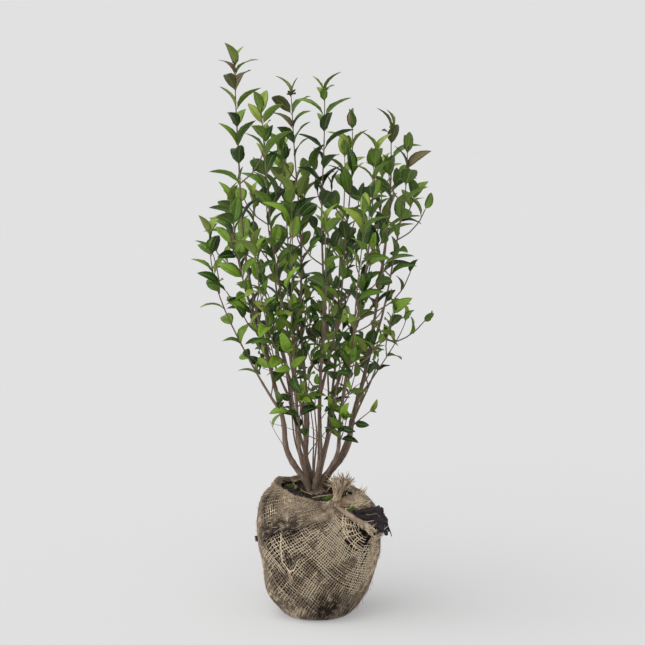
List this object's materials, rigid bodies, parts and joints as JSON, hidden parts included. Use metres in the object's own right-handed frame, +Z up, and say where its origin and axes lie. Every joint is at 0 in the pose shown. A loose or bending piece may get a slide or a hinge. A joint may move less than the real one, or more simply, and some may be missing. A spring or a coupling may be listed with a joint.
{
  "type": "privet shrub",
  "caption": "Upright evergreen privet shrub with forked stems and paired leaves, standing on a rounded root ball wrapped in knotted, torn hessian.",
  "frame": {"origin": "centre of the root ball's flat underside, where the plant stands", "axes": "+Z up along the stems, -Y towards the knot side that the picture shows, +X to its right"},
  "size_m": [0.4711, 0.4405, 1.1131],
  "materials": {
    "bark": "matte",
    "leaf": "satin",
    "hessian": "matte",
    "soil": "matte"
  },
  "bodies": {
    "root": {"foliage_01": "leaf", "foliage_02": "leaf", "foliage_03": "leaf", "foliage_04": "leaf", "foliage_05": "leaf", "foliage_06": "leaf", "foliage_07": "leaf", "foliage_08": "leaf", "foliage_09": "leaf", "foliage_10": "leaf", "foliage_11": "leaf", "foliage_12": "leaf", "foliage_13": "leaf", "foliage_14": "leaf", "foliage_15": "leaf", "foliage_16": "leaf", "foliage_17": "leaf", "foliage_18": "leaf", "foliage_19": "leaf", "foliage_20": "leaf", "foliage_21": "leaf", "foliage_22": "leaf", "foliage_23": "leaf", "foliage_24": "leaf", "foliage_25": "leaf", "foliage_26": "leaf", "foliage_27": "leaf", "stem_01": "bark", "stem_02": "bark", "stem_03": "bark", "stem_04": "bark", "stem_05": "bark", "stem_06": "bark", "stem_07": "bark", "stem_08": "bark", "stem_09": "bark", "stem_10": "bark", "stem_11": "bark", "stem_12": "bark", "stem_13": "bark", "stem_14": "bark", "stem_15": "bark", "stem_16": "bark", "stem_17": "bark", "stem_18": "bark", "stem_19": "bark", "stem_20": "bark", "stem_21": "bark", "stem_22": "bark", "stem_23": "bark", "stem_24": "bark", "stool": "bark", "hessian_wrap": "hessian", "hessian_knot": "hessian", "hessian_tail": "hessian", "hessian_fan": "hessian", "soil_ball": "soil", "peat_flap": "soil"}
  },
  "joints": []
}
